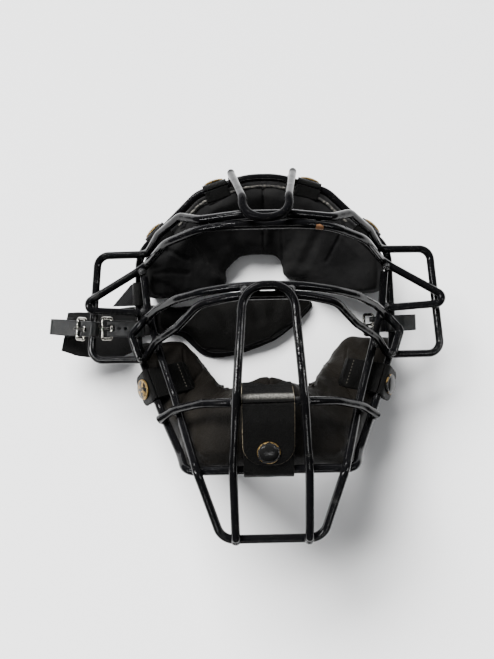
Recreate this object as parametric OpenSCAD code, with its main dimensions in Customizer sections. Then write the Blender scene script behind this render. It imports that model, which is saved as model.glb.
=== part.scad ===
// Umpire mask: welded wire cage, leather pads on snap tabs, head harness.
// Lies on its back: floor at z = 0, front up, forehead towards +Y, X = 0 the middle plane.

/* [Cage] */
// Diameter of the coated cage wire
wire_d = 5.8; // [5.5:0.1:6.1]
// Width of the rear ring, wire centre to wire centre
ring_w = 197; // [193:0.5:201]
// Top of the rear ring above the middle
ring_top = 113; // [111:0.5:115]
// Chin wire of the rear ring below the middle
ring_low = 98.5; // [96.5:0.5:100.5]
// Height of the rear ring's axis over the floor
ring_z = 36; // [35:0.5:37]
// Height of the ring's chin wire over the floor
chin_z = 96; // [94.5:0.5:97.5]
// Height of the front bars' axis over the floor
front_z = 108; // [107:0.5:110]
// Eye gap, wire centre to wire centre
eye_gap = 40.4; // [38:0.2:42]
// Reach of each ear guard beyond the ring
ear_reach = 34.8; // [33:0.2:36]
// Drop of the throat guard below the ring's chin wire
throat_drop = 46.5; // [43:0.5:50]

/* [Pads and tabs] */
// Thickness of tab leather
leather_t = 1.6; // [1.4:0.1:1.8]
// Clearance between leather and wire
wrap_gap = 0.2; // [0.15:0.05:0.3]
// Width of the chin flap
chin_tab_w = 34.2; // [30:0.1:35]
// Width of a cheek flap
cheek_tab_w = 25; // [22:0.5:26]
// Width of a forehead flap
brow_tab_w = 19; // [16:0.5:19.5]
// Diameter of a snap cap
snap_d = 15.5; // [13:0.5:16]
// Height of the forehead pad's crown over the ring's axis
pad_crown = 1.6; // [0.4:0.2:1.8]

/* [Harness] */
// Width of the harness straps
strap_w = 12.5; // [11:0.5:13]
// Thickness of the harness straps
strap_t = 1.8; // [1.5:0.1:2]
// Wire diameter of the buckle frames
buckle_wire = 2.2; // [1.9:0.1:2.3]
// Thickness of the rear head pad
rear_pad_t = 10; // [8:0.5:12]

/* [Hidden] */
weld_gap = 0.1;   // wires that cross are drawn this far apart
swell = 0.06;     // bends are drawn this much thicker than the straights
lap = 0.4;        // each straight runs this far into its bends
fine = 48;        // facets round a wire
bead_d = 6.4;     // weld beads
piping_d = 2.2;
corner_r = 5;     // corners of the snap tabs
chin_tab_x = -1.5;   // the chin tab is sewn on a little to the left
tab_gap = 0.5;       // between the chin tab and the legs of the centre loop
socket_d = 7;
stud_d = 4.2;
under_start = 3.9;
fold_a = 5;       // opening at a fold, in degrees round the wire
prong_d = 1.7;
prong_w = 2.6;
prong_gap = 0.06;
prong_lift = 0.45;   // from a prong's tip to the bar that it rests over
slot_w = 4.2;     // slot in a strap for the prong
slot_long = 10;
loop_w = 11.4;    // leather loop round the ear guard
hole_d = 2;       // holes along a strap
pitch = wire_d + weld_gap;
wire_r = wire_d / 2;
wrap_r = wire_r + wrap_gap + leather_t / 2;   // middle of a leather layer bent round a wire
layer = leather_t + 0.15;                     // from one leather layer to the next
seat_z = ring_z + pitch;                      // wires lying on the front of the ring
loop_z = front_z + pitch;                     // wires lying on the front bars
kx = ring_w / 197;                            // the shapes were laid out for this ring width
kt = ring_top / 113;
kb = ring_low / 98.5;
brow_y = 64.2 * kt;
eye_y = brow_y - eye_gap;
ear_x = ring_w / 2 + ear_reach;
brow_gap = 6.7;   // upper brow bar above the brow bar
eye_pair = 6.2;   // the two wires of the eye bar, one above the other
throat_y = -(ring_low + throat_drop);
chin_bar_y = -51.6 * kb;
loop_x = chin_tab_w / 2 - chin_tab_x + tab_gap + wire_r;   // centre loop's leg on the chin bar

function unit(v) = v / norm(v);
function turn(a, b, c) = acos(min(1, max(-1, unit(b - a) * unit(c - b))));
function flip(p) = [-p.x, p.y, p.z];
function rev(l) = [for (i = [len(l) - 1 : -1 : 0]) l[i]];
function both(half) = concat([for (p = rev(half)) flip(p)], half);
function twice(half) = concat(rev(half), half);
function at(p, i) = p[(i + len(p)) % len(p)];
function front(f) = ring_z + f * (front_z - ring_z);
function low(f) = ring_z + f * (chin_z - ring_z);
function up(x, y, z) = [x * kx, y * kt, z];
function down(x, y, z) = [x * kx, y * kb, z];

// Paths, right half from the top middle to the bottom middle, with bend radii.
ring_half = [up(12, 113, ring_z), up(50, 101, ring_z), up(96, 56, ring_z), down(98.5, -18, ring_z),
    down(78.3, -64, low(0.35)), down(62, -90, low(0.77)), down(57.5, -98.5, chin_z)];
ring_bends = [60, 24, 26, 40, 40, 30, 9];
top_loop_half = [up(15.2, 66.7, front_z + 5.6), up(15.2, 82, front_z - 3.5),
    up(23.2, 113.6, ring_z + 6.2), up(23.8, 116.6, ring_z + 2)];
top_loop_bends = [14, 12, 20, 0];
brow_half = [[25 * kx, brow_y, front_z - 5], up(44, 63, front(0.86)), up(70, 57.4, front(0.57)),
    up(91, 45.2, seat_z - 1.3), [ear_x + 8.9, 12.6, seat_z + 10.6], [95.5 * kx, 10.1, seat_z + 0.1]];
brow_bends = [60, 40, 40, 14, 4.6, 0];
ear_half = [[17 * kx, brow_y + brow_gap, front_z - 4], up(44, 69.4, front(0.84)),
    up(59, 74.6, front(0.65)), up(77.2, 66.5, front(0.33)), up(89, 54.6, seat_z),
    [ear_x - 7, 54.2, seat_z], [ear_x + 0.5, -25.5, seat_z], down(92, -25.5, seat_z + 4.2),
    down(81.5, -12, front(0.31)), down(63, -1.6, front(0.56)), [46 * kx, eye_y - 10.9, front(0.82)],
    [21 * kx, eye_y - eye_pair, front_z - 0.4]];
ear_bends = [30, 12, 12, 20, 9, 9, 9, 9, 20, 30, 24, 40];
eye_half = [[20 * kx, eye_y, front_z], [46 * kx, eye_y - 3, front(0.83)],
    [63 * kx, eye_y - 6.2, front(0.65)], up(79.5, 11.6, front(0.38)), up(90, 4.6, seat_z + 8.6),
    up(101, -7, seat_z + 8.5), down(95.3, -23.2, seat_z + 9.9)];
eye_bends = [60, 40, 40, 30, 20, 4, 0];
centre_half = [[loop_x - 6, eye_y, loop_z], [loop_x - 2, -25, loop_z], [loop_x, chin_bar_y, loop_z],
    [loop_x + 3.3, -ring_low, chin_z + pitch], [loop_x + 2.4, throat_y + 2.7, chin_z + pitch - 1]];
centre_bends = [15.3, 80, 60, 60, 0];
throat_half = [[34 * kx, throat_y, chin_z - 1], down(49, -97, chin_z + 7.2),
    down(67, -54, low(0.48)), down(79.8, -21, seat_z + 6.6), up(89, 10, seat_z + 1.1),
    up(91.6, 37.5, seat_z + 0.9)];
throat_bends = [12, 12, 60, 60, 40, 0];
chin_bar_half = [[26 * kx, chin_bar_y, front_z], down(46, -53.5, front_z - 13),
    down(66, -59.4, low(0.7)), down(78.3, -67.5, low(0.52))];
chin_bar_bends = [40, 40, 30, 0];
// Middles of the welds, right half.
beads_half = [up(23, 112.4, ring_z + 2.4), up(12.5, 71.6, front_z - 1), up(35, 66.8, front_z - 12.2),
    up(93.6, 54.4, ring_z + 3), up(97.8, 41.4, ring_z + 2.6), up(98, 10.2, ring_z + 2.8),
    [ear_x - 4.6, 22.4, ring_z + 9], [ear_x - 3.6, 11.5, ring_z + 9.2], up(91.9, 10.8, ring_z + 6.9),
    up(92.6, 41.3, ring_z + 8), up(89.2, 3.6, ring_z + 12.4), down(94.4, -23.9, ring_z + 13.4),
    down(94, -26, ring_z + 6.4), down(83, -17, ring_z + 14.8), [8, eye_y - 3.1, front_z - 3.6],
    [loop_x - 7.4, eye_y - 3.2, front_z + 3.2], [loop_x + 0.7, chin_bar_y, front_z + 2.4],
    down(65.3, -61.2, low(0.63)), down(76.7, -68.6, low(0.475)), down(49.6, -97.4, chin_z + 2.8),
    [loop_x + 3.4, -ring_low, chin_z + 3.1], [loop_x + 2.4, throat_y, chin_z + 2]];

module placed(o, x, y, z) {
    multmatrix([[x.x, y.x, z.x, o.x], [x.y, y.y, z.y, o.y], [x.z, y.z, z.z, o.z], [0, 0, 0, 1]])
        children();
}

module straight(a, b, d) {
    z = unit(b - a);
    side = abs(z.z) < 0.9 ? [0, 0, 1] : [1, 0, 0];
    x = unit(cross(side, z));
    placed(a, x, cross(z, x), z) cylinder(h = norm(b - a), d = d, $fn = fine);
}

module bend(a, b, c, r, d) {
    u = unit(b - a);
    v = unit(c - b);
    t = turn(a, b, c);
    inward = unit(v - u * (u * v));
    centre = b - u * r * tan(t / 2) + inward * r;
    placed(centre, -inward, u, cross(-inward, u))
        rotate_extrude(angle = t, $fn = 2 * fine) translate([r, 0]) circle(d = d, $fn = fine);
}

function setback(p, r, i) = at(r, i) == 0 ? 0
    : at(r, i) * tan(turn(at(p, i - 1), at(p, i), at(p, i + 1)) / 2) - lap;

// A round wire bent along the points p with the radii r.
module bent_wire(p, r, closed = false, d = wire_d) {
    n = len(p);
    for (i = [0 : n - (closed ? 1 : 2)]) {
        a = p[i];
        b = at(p, i + 1);
        u = unit(b - a);
        straight(a + u * setback(p, r, i), b - u * setback(p, r, i + 1), d);
    }
    for (i = [0 : n - 1]) {
        if (r[i] > 0) {
            bend(at(p, i - 1), p[i], at(p, i + 1), r[i], d + swell);
        }
    }
}

// Points along a bent wire's axis, used where the pads follow the ring.
function bend_points(a, b, c, r, n) = let (u = unit(b - a), v = unit(c - b), t = turn(a, b, c),
    inward = unit(v - u * (u * v)), centre = b - u * r * tan(t / 2) + inward * r)
    [for (i = [0 : n]) centre + r * (u * sin(t * i / n) - inward * cos(t * i / n))];
function wire_points(p, r, n) = [for (i = [0 : len(p) - 1])
    each (r[i] == 0 ? [p[i]] : bend_points(at(p, i - 1), p[i], at(p, i + 1), r[i], n))];
function dense(p) = [for (i = [0 : len(p) - 1])
    let (a = p[i], b = at(p, i + 1), n = ceil(norm(b - a) / 5))
    each [for (j = [0 : n - 1]) a + (b - a) * j / n]];
ring_points = dense(wire_points(both(ring_half), twice(ring_bends), 6));
// Distance and height of the ring seen from a middle point at height y, against the angle.
function ring_far(y) = [for (q = ring_points) if (q.x >= 0) [atan2(q.y - y, q.x), norm([q.x, q.y - y])]];
function ring_high(y) = [for (q = ring_points) if (q.x >= 0) [atan2(q.y - y, q.x), q.z]];
function folded(a) = a > 90 ? 180 - a : a < -90 ? -180 - a : a;

// A flat band of leather or webbing in side view, t thick, along the points p.
function side(p, i) = let (a = p[max(i - 1, 0)], b = p[min(i + 1, len(p) - 1)], d = unit(b - a))
    [-d.y, d.x];
module band(p, t) {
    polygon(concat([for (i = [0 : len(p) - 1]) p[i] + side(p, i) * t / 2],
        [for (i = [len(p) - 1 : -1 : 0]) p[i] - side(p, i) * t / 2]));
}
function arc(c, r, a, b, n = 10) = [for (i = [0 : n]) let (w = a + (b - a) * i / n)
    c + r * [cos(w), sin(w)]];

// Skin over closed rings of points, with fan-shaped ends.
module skin(rings) {
    n = len(rings[0]);
    m = len(rings);
    middle = function(l) [for (k = [0 : 2]) [for (q = l) q[k]] * [for (q = l) 1] / len(l)];
    pts = concat([for (l = rings) each l], [middle(rings[0]), middle(rings[m - 1])]);
    sides = [for (i = [0 : m - 2]) for (j = [0 : n - 1]) let (k = (j + 1) % n)
        each [[i * n + j, i * n + k, (i + 1) * n + k], [i * n + j, (i + 1) * n + k, (i + 1) * n + j]]];
    ends = [for (j = [0 : n - 1]) let (k = (j + 1) % n)
        each [[k, j, m * n], [(m - 1) * n + j, (m - 1) * n + k, m * n + 1]]];
    polyhedron(pts, concat(sides, ends));
}

module rear_ring() {
    color([0.05, 0.05, 0.06]) bent_wire(both(ring_half), twice(ring_bends), true);
}
module brow_bar() {
    color([0.05, 0.05, 0.06]) bent_wire(both(brow_half), twice(brow_bends));
}
module ear_guard_loop() {
    color([0.05, 0.05, 0.06]) bent_wire(both(ear_half), twice(ear_bends), true);
}
module eye_bar() {
    color([0.05, 0.05, 0.06]) bent_wire(both(eye_half), twice(eye_bends));
}
module centre_loop() {
    tip = centre_half[len(centre_half) - 1];
    color([0.05, 0.05, 0.06]) {
        bent_wire(both(centre_half), twice(centre_bends));
        for (p = [tip, flip(tip)]) translate(p) sphere(d = wire_d + swell, $fn = fine);
    }
}
module throat_bar() {
    color([0.05, 0.05, 0.06]) bent_wire(both(throat_half), twice(throat_bends));
}
module chin_bar() {
    color([0.05, 0.05, 0.06]) bent_wire(both(chin_bar_half), twice(chin_bar_bends));
}
module top_loop() {
    color([0.05, 0.05, 0.06]) bent_wire(both(top_loop_half), twice(top_loop_bends));
}
module weld_beads() {
    color([0.1, 0.1, 0.11]) for (p = both(beads_half)) translate(p) sphere(d = bead_d, $fn = 16);
}

// Cross-section of the forehead pad at the angle a, as points [distance, height].
function brow_section(a) = let (f = folded(a), far = lookup(f, brow_far) - 1.2,
    near = lookup(f, a < 90 ? [[0, 37], [12, 35.5], [25, 25], [40, 21.8], [54.5, 27.4], [67, 32.5],
    [90, 30.5]] : [[0, 37], [12, 35], [21.5, 31], [31, 36.5], [60, 34.5], [90, 30.5]]) * kx,
    seam = pow(max(0, 1 - abs(90 - f) / 3), 2) + 0.6 * pow(max(0, 1 - abs(60 - f) / 3), 2),
    top = ring_z + pad_crown - 1.4 * seam, mid = (far + near) / 2)
    [[far, 0], [far + 3.6, 4], [far + 3.9, ring_z - 11], [far + 1.8, ring_z - 5.5], [far - 2.4, ring_z - 4.4],
    [far - 4.2, top - 1.6], [far - 7, top], [far - 15, top - 1.2], [mid, 25 - 2 * seam],
    [near + 6, 15 - 2 * seam], [near + 1.4, 9], [near, 5], [near + 0.8, 1.6], [near + 3, 0]];
// A section at the angle a round the middle height y, drawn in towards its own middle by k.
function section_ring(s, a, y, k) =
    let (c = [for (i = [0, 1]) [for (q = s) q[i]] * [for (q = s) 1] / len(s)])
    [for (q = s) let (r = c.x + (q.x - c.x) * k, z = c.y + (q.y - c.y) * k)
    [r * cos(a), y + r * sin(a), max(0, q.y == 0 ? 0 : z)]];
brow_mid = 22;
brow_far = ring_far(brow_mid);
brow_angles = concat([1, 1.8], [for (a = [4 : 4 : 88]) a], [90],
    [for (a = [92 : 4 : 176]) a], [178.2, 179]);
function end_k(i, n) = i == 0 || i == n ? 0.72 : i == 1 || i == n - 1 ? 0.93 : 1;

module forehead_pad() {
    n = len(brow_angles) - 1;
    color([0.12, 0.12, 0.13]) skin([for (i = [0 : n])
        section_ring(brow_section(brow_angles[i]), brow_angles[i], brow_mid, end_k(i, n))]);
}
module forehead_piping() {
    reach = 7;
    angles = [for (a = [40 : 5 : 140]) a];
    color([0.16, 0.16, 0.17]) skin([for (a = angles) let (r = lookup(folded(a), brow_far) - reach)
        [for (j = [0 : 7]) let (d = piping_d / 2, w = 45 * j, far = r + d * cos(w))
        [far * cos(a), brow_mid + far * sin(a), ring_z + pad_crown - 0.4 + d * sin(w)]]]);
}

chin_mid = -10;
chin_far = ring_far(chin_mid);
chin_high = ring_high(chin_mid);
// Cross-section of the chin pad, b degrees below the wing's tip.
function chin_section(b) = let (f = b > 90 ? 180 - b : b, far = lookup(-f, chin_far) - 1.2,
    zr = lookup(-f, chin_high),
    near = lookup(f, [[0, 66], [14.5, 56], [37, 50], [50, 46.5], [56, 38.5], [65, 31.5], [78, 26.8],
    [90, 25.4]]) * kx,
    rim = ring_z + (chin_z - ring_z) * lookup(f, [[0, -0.42], [15, -0.38], [37, -0.1], [50, 0.45],
    [58, 0.8], [66, 0.94], [90, 1.02]]),
    under = (chin_z - ring_z) * lookup(f, [[0, 0], [30, 0], [50, 0.5], [62, 1.05], [90, 1.2]]),
    skirt = (chin_z - ring_z) * lookup(f, [[0, 0], [35, 0], [50, 0.3], [70, 0.75], [90, 0.85]]),
    seam = pow(max(0, 1 - abs(90 - f) / 4), 2), mid = (far + near) / 2, wall = min(far - 14, mid + 16),
    steep = lookup(f, [[35, 0], [44, 0.8], [50, 2.8], [58, 2.8], [64, 0]]),
    crown = max((rim + zr) / 2 + 4 - 1.2 * seam, min(zr - 2, rim + 12)))
    [[far, skirt], [far + 4.5, skirt + 4], [far + 5.4, max(skirt + 7, zr - 8 - steep)],
    [far + 2.4, zr - 5.3 - steep], [far - 5.4, zr - 4.2 - steep], [far - 10, (zr - 3 + crown) / 2],
    [mid + 6, crown - 1], [mid - 4, (crown + rim) / 2 + 1],
    [near + 6, rim + 1.6], [near + 1.4, rim], [near, rim - 3], [near + 1, max(2, rim - 9)],
    [near + 3, min(under, rim - 10)], [(near + wall) / 2, min(under, rim - 10)],
    [wall, min(under, rim - 10)], [wall + 3, skirt]];
chin_angles = concat([1, 2.5], [for (b = [5 : 5 : 85]) b], [90],
    [for (b = [95 : 5 : 175]) b], [177.5, 179]);
module chin_pad() {
    n = len(chin_angles) - 1;
    color([0.15, 0.14, 0.13]) skin([for (i = [0 : n]) let (s = chin_section(chin_angles[i]))
        section_ring([for (q = s) [q.x, max(0, q.y)]], -chin_angles[n - i], chin_mid, end_k(i, n))]);
}

// Frame on a straight run of wire from p to q, s along it: x outward, y up, z along the wire.
module on_wire(p, q, s) {
    a = unit(q - p);
    u = unit([-a.y, a.x, 0]);
    placed(p + a * s, u, cross(a, u), a) children();
}
// Frame on a tab's flat end, f degrees up from outward: x down the flat, z out of it.
module on_flat(f) {
    placed([0, 0, 0], [sin(f), -cos(f), 0], [0, 0, -1], [cos(f), sin(f), 0]) children();
}
function out(f, d, s) = d * [cos(f), sin(f)] + s * [sin(f), -cos(f)];

// Outline with two rounded corners at the end x = run.
module tongue(w, run, r) {
    back = 60;
    translate([-back, -w / 2]) square([back + run - r, w]);
    translate([-back, r - w / 2]) square([back + run, w - 2 * r]);
    for (i = [-1, 1]) translate([run - r, i * (w / 2 - r)]) circle(r, $fn = fine);
}

// Outer half of a snap tab: bends from its fold over the wire down to the flat with the snap.
module snap_flap(slope, f, run, s, w) {
    difference() {
        intersection() {
            linear_extrude(w, center = true) band(concat(arc([0, 0], wrap_r, 90 + slope - fold_a, f),
                [out(f, wrap_r, run)]), leather_t);
            on_flat(f) linear_extrude(4 * w, center = true) tongue(w, run, corner_r);
        }
        on_flat(f) translate([s, 0, 0]) cylinder(h = 2 * wrap_r, d = socket_d, $fn = fine);
    }
}
// Fixed layer under a snap tab: comes out of the pad below the wire.
module under_layer(f, run, w) {
    d = wrap_r - layer;
    intersection() {
        union() {
            linear_extrude(w - 1, center = true)
                band([out(f, d, under_start), out(f, d, run - 1.5)], leather_t);
            linear_extrude(w - 1, center = true)
                band([out(f, d, under_start + 1), [0.4, -6.2], [-6, -8.6]], leather_t);
        }
        on_flat(f) linear_extrude(4 * w, center = true) tongue(w - 1, run - 1.5, corner_r - 1);
    }
}
// Inner half of a snap tab: stitched to the pad, up to the fold on top of the wire.
module stitched_half(reach, slope, w) {
    start = wrap_r * [cos(90 + slope), sin(90 + slope)];
    end = start - reach * [cos(slope), sin(slope)];
    linear_extrude(w, center = true) band([end, start], leather_t);
    linear_extrude(w - 0.6, center = true) polygon([end + [1, -0.1], end - [2, 0.3],
        end - [3.4, 4], end - [2.4, 7], end - [-1, 6], end + [0.8, -0.6]]);
}
module snap_stud(t) {
    on_tab(t) on_flat(t[5]) translate([t[7], 0, wrap_r - layer - leather_t / 2]) stud();
}
module stud() {
    cylinder(h = leather_t + 1.1, d = stud_d, $fn = fine);
}
module cap_dome() {
    r = snap_d / 2;
    translate([0, 0, leather_t / 2 + 0.02]) rotate_extrude($fn = fine) polygon([[0, 0], [r - 0.4, 0],
        [r, 0.4], [r, 0.9], [r - 0.9, 1.5], [r * 0.7, 2.1], [r * 0.36, 2.5], [0, 2.6]]);
}
module snap_cap(t) {
    on_tab(t) on_flat(t[5]) translate([t[7], 0, wrap_r]) cap_dome();
}

// Each tab: the two ends of its wire run, place along it, reach, slope, end angle, length of the flat and
// the snap's place on it.
brow_tab = [ring_half[0], ring_half[1], 25.1, 8.5, 16, 8, 15.5, 6.6];
temple_tab = [ring_half[1], ring_half[2], 44, 8.5, 16, 8, 15.5, 6.6];
cheek_tab = [ring_half[3], ring_half[4], 32, 27, 32, 43, 12, 4.8];
module on_tab(t) {
    on_wire(t[0], t[1], t[2]) children();
}
module tab_fixed(t, w) {
    on_tab(t) {
        under_layer(t[5], t[6], w);
        stitched_half(t[3], t[4], w);
    }
}
module sides() {
    children();
    mirror([1, 0, 0]) children();
}
module forehead_tabs() {
    color([0.16, 0.15, 0.15]) sides() {
        tab_fixed(brow_tab, brow_tab_w);
        tab_fixed(temple_tab, brow_tab_w);
    }
}
module cheek_tabs() {
    color([0.16, 0.15, 0.15]) sides() tab_fixed(cheek_tab, cheek_tab_w);
}
module flap_right(t, w) {
    color([0.18, 0.17, 0.17]) on_tab(t) snap_flap(t[4], t[5], t[6], t[7], w);
}
module cap_right(t) {
    color([0.5, 0.4, 0.2]) snap_cap(t);
}
module brow_flap_right() {
    flap_right(brow_tab, brow_tab_w);
}
module brow_flap_left() {
    mirror([1, 0, 0]) flap_right(brow_tab, brow_tab_w);
}
module temple_flap_right() {
    flap_right(temple_tab, brow_tab_w);
}
module temple_flap_left() {
    mirror([1, 0, 0]) flap_right(temple_tab, brow_tab_w);
}
module cheek_flap_right() {
    flap_right(cheek_tab, cheek_tab_w);
}
module cheek_flap_left() {
    mirror([1, 0, 0]) flap_right(cheek_tab, cheek_tab_w);
}
module brow_cap_right() {
    cap_right(brow_tab);
}
module brow_cap_left() {
    mirror([1, 0, 0]) cap_right(brow_tab);
}
module temple_cap_right() {
    cap_right(temple_tab);
}
module temple_cap_left() {
    mirror([1, 0, 0]) cap_right(temple_tab);
}
module cheek_cap_right() {
    cap_right(cheek_tab);
}
module cheek_cap_left() {
    mirror([1, 0, 0]) cap_right(cheek_tab);
}

// Chin tab in side view: Y and Z, from the chin bar's middle to the ring's chin wire.
bar_c = [chin_bar_y, front_z];
low_c = [-ring_low, chin_z];
fall = unit(low_c - bar_c);
rise = [fall.y, -fall.x];
face_a = atan2(rise.y, rise.x);
span = norm(low_c - bar_c);
function along(s, d) = bar_c + fall * s + rise * d;
chin_run = 42;
chin_snap = 32.5;
chin_round = 14;
chin_root = bar_c + [8.4, -10.6];
chin_fold = 94;
module across(w) {
    placed([chin_tab_x, 0, 0], [0, 1, 0], [0, 0, 1], [1, 0, 0]) linear_extrude(w, center = true) children();
}
module on_chin_face(s, d) {
    p = along(s, d);
    placed([chin_tab_x, p.x, p.y], [0, fall.x, fall.y], [-1, 0, 0], [0, rise.x, rise.y]) children();
}
module chin_flap() {
    color([0.18, 0.17, 0.17]) difference() {
        intersection() {
            across(chin_tab_w) band(concat(arc(bar_c, wrap_r, chin_fold, face_a, 2),
                [along(12, wrap_r + layer), along(chin_run, wrap_r + layer)]), leather_t);
            on_chin_face(0, 0) linear_extrude(80, center = true) tongue(chin_tab_w, chin_run, chin_round);
        }
        on_chin_face(chin_snap, 0) cylinder(h = 3 * wrap_r, d = socket_d, $fn = fine);
    }
}
module chin_cap() {
    color([0.08, 0.08, 0.08]) on_chin_face(chin_snap, wrap_r + layer) cap_dome();
}
module chin_tab() {
    color([0.16, 0.15, 0.15]) {
        across(chin_tab_w - 0.6) band(concat([along(14, wrap_r), along(span, wrap_r)],
            arc(low_c, wrap_r, face_a + 8, face_a + 190, 16),
            [[4 - ring_low, chin_z - 5.4], [12 - ring_low, chin_z - 8]]), leather_t);
        across(chin_tab_w) band(concat([chin_root], arc(bar_c, wrap_r, 20, chin_fold - fold_a)), leather_t);
        across(chin_tab_w - 0.6) polygon([chin_root + [0.9, 1], chin_root + [3, -3],
            chin_root + [3, -9], chin_root + [-2, -9], chin_root + [-0.7, 0.4]]);
    }
}
module snap_studs() {
    color([0.5, 0.4, 0.2]) {
        sides() {
            snap_stud(brow_tab);
            snap_stud(temple_tab);
            snap_stud(cheek_tab);
        }
        on_chin_face(chin_snap, wrap_r - leather_t / 2) stud();
    }
}

// Frame on the left ear guard's outer wire: x inward, y along the wire, z up.
ear_tilt = atan((ear_half[6].x - ear_half[5].x) / (ear_half[5].y - ear_half[6].y));
ear_axis_x = ear_half[6].x + ear_half[6].y * tan(ear_tilt);
module on_ear() {
    translate([-ear_axis_x, 0, seat_z]) rotate([0, 0, -ear_tilt]) children();
}
strap_r = wire_r + wrap_gap + strap_t / 2;
bar_r = buckle_wire / 2;
loop_r = bar_r + 0.25 + strap_t / 2;   // strap turned round a buckle bar
buckle_y = -2.2;       // middle of the left buckles
buckle_w = strap_w + 3.5;   // between the end bars' middles
buckle_bend = 1.6;
// Side view in the X and Z plane, w wide along Y round the height y.
module wide(w, y) {
    placed([0, y, 0], [1, 0, 0], [0, 0, 1], [0, -1, 0]) linear_extrude(w, center = true) children();
}
// Buckle frame between a bar at a and a bar at b, both [x, z].
module buckle(a, b, y) {
    h = buckle_w / 2;
    bent_wire([[a.x, y - h, a.y], [b.x, y - h, b.y], [b.x, y + h, b.y], [a.x, y + h, a.y]],
        [for (i = [0 : 3]) buckle_bend], true, buckle_wire);
}
// Prong hung on the bar at a, its tip over the bar at b.
module prong(a, b, y) {
    d = unit(b - a);
    n = d.x < 0 ? [d.y, -d.x] : [-d.y, d.x];
    tip = b + n * (bar_r + prong_d / 2 + prong_lift) + d * 1.1;
    root = a + d * (bar_r + 0.5) + n * 0.6;
    translate([0, y, 0]) difference() {
        union() {
            placed([a.x, -prong_w / 2, a.y], [1, 0, 0], [0, 0, -1], [0, 1, 0])
                cylinder(h = prong_w, r = bar_r + 1, $fn = fine);
            straight([root.x, 0, root.y], [tip.x, 0, tip.y], prong_d);
            translate([tip.x, 0, tip.y]) sphere(d = prong_d + swell, $fn = 24);
        }
        placed([a.x, -prong_w, a.y], [1, 0, 0], [0, 0, -1], [0, 1, 0])
            cylinder(h = 2 * prong_w, r = bar_r + prong_gap, $fn = fine);
    }
}

// Left side strap from the ring to the inner buckle, on the ring's side run.
side_run = [ring_half[2], ring_half[3]];
side_s = ring_half[2].y + 2.2;
inner_bar = [20.2, 2.2];
inner_end = [27, 4.6];
module on_left_side() {
    mirror([1, 0, 0]) on_wire(side_run[0], side_run[1], side_s) mirror([0, 0, 1]) children();
}
module tall(w) {
    linear_extrude(w, center = true) children();
}
module side_strap_left() {
    color([0.2, 0.2, 0.2]) on_left_side() difference() {
        tall(strap_w) band(concat([[13, 1.4]], arc([0, 0], strap_r, -50, -270, 16),
            [[10, strap_r + 0.4], [inner_bar.x + 3.2, inner_bar.y + bar_r + 0.2 + strap_t / 2]]), strap_t);
        translate([inner_bar.x + 1, 0, 0]) cube([8, 20, slot_w], center = true);
        for (x = [8.5, 13.5]) {
            translate([x, strap_r + 2, 0]) rotate([90, 0, 0]) cylinder(h = 5, d = hole_d, $fn = 24);
        }
    }
}
module flat_wire_frame(a, b) {
    h = buckle_w / 2;
    bent_wire([[a.x, a.y, -h], [b.x, b.y, -h], [b.x, b.y, h], [a.x, a.y, h]],
        [for (i = [0 : 3]) buckle_bend], true, buckle_wire);
}
module inner_buckle_left() {
    color([0.7, 0.7, 0.68]) on_left_side() flat_wire_frame(inner_bar, inner_end);
}
module flat_prong(a, b) {
    rotate([-90, 0, 0]) prong(a, b, 0);
}
module inner_prong_left() {
    color([0.7, 0.7, 0.68]) on_left_side() flat_prong(inner_bar, inner_end);
}
module elastic_strip_left() {
    color([0.3, 0.3, 0.3]) mirror([1, 0, 0]) on_wire(side_run[0], side_run[1], ring_half[2].y - 24.6)
        difference() {
            cylinder(h = 17.8, r = strap_r + strap_t / 2, center = true, $fn = fine);
            cylinder(h = 20, r = wire_r + wrap_gap, center = true, $fn = fine);
        }
}
module elastic_left() {
    top = ring_z - strap_r - strap_t / 2 + 0.1;
    color([0.1, 0.1, 0.1]) translate([98.5 - ring_w / 2, 0, top - 1.2]) linear_extrude(1.2)
        polygon([[-119, 15.8], [-104, 33], [-100.4, 33], [-99.8, 21.5], [-98, 20.5], [-98, 15.8]]);
}

// Left outer buckle on a loop of leather round the ear guard wire.
outer_bar = [-6.4, -0.4];
outer_end = [-13.2, -4.9];
module ear_loop_left() {
    color([0.15, 0.15, 0.15]) on_ear() difference() {
        wide(loop_w, buckle_y + 0.6) band(concat(arc([0, 0], strap_r, -104, 98, 20),
            arc(outer_bar, loop_r, 98, 250, 14)), strap_t);
        translate([outer_bar.x - slot_long / 4, buckle_y, outer_bar.y])
            cube([slot_long, slot_w, 12], center = true);
    }
}
module outer_buckle_left() {
    color([0.7, 0.7, 0.68]) on_ear() buckle(outer_bar, outer_end, buckle_y);
}
module outer_prong_left() {
    color([0.7, 0.7, 0.68]) on_ear() prong(outer_bar, outer_end, buckle_y);
}
tail_dir = unit(outer_end - outer_bar);
tail_n = [tail_dir.y, -tail_dir.x];
tail_in = outer_bar + tail_dir * 4.6 - tail_n * (bar_r + 0.2 + strap_t / 2);
tail_out = outer_end - tail_n * (bar_r + 0.2 + strap_t / 2);
panel_line = [[-32, -16.4], [-12, -22.6], [12, -31], [32, -38.7], [43, -38.7]];
panel_t = 2.4;
tail_lift = panel_t / 2 + strap_t / 2 + 0.1;
tail_back = panel_line[0] * 0.85 + panel_line[1] * 0.15;
module strap_tail_left() {
    color([0.2, 0.2, 0.2]) on_ear() wide(strap_w, buckle_y) band(concat([tail_in, tail_out, [-21, -8.6],
        [-31, -9.4]], arc([-33, -12.4], 3, 95, 262, 12), [tail_back + [0.6, tail_lift],
        (panel_line[0] + panel_line[1] * 1.4) / 2.4 + [0.5, tail_lift + 0.05]]), strap_t);
}
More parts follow.
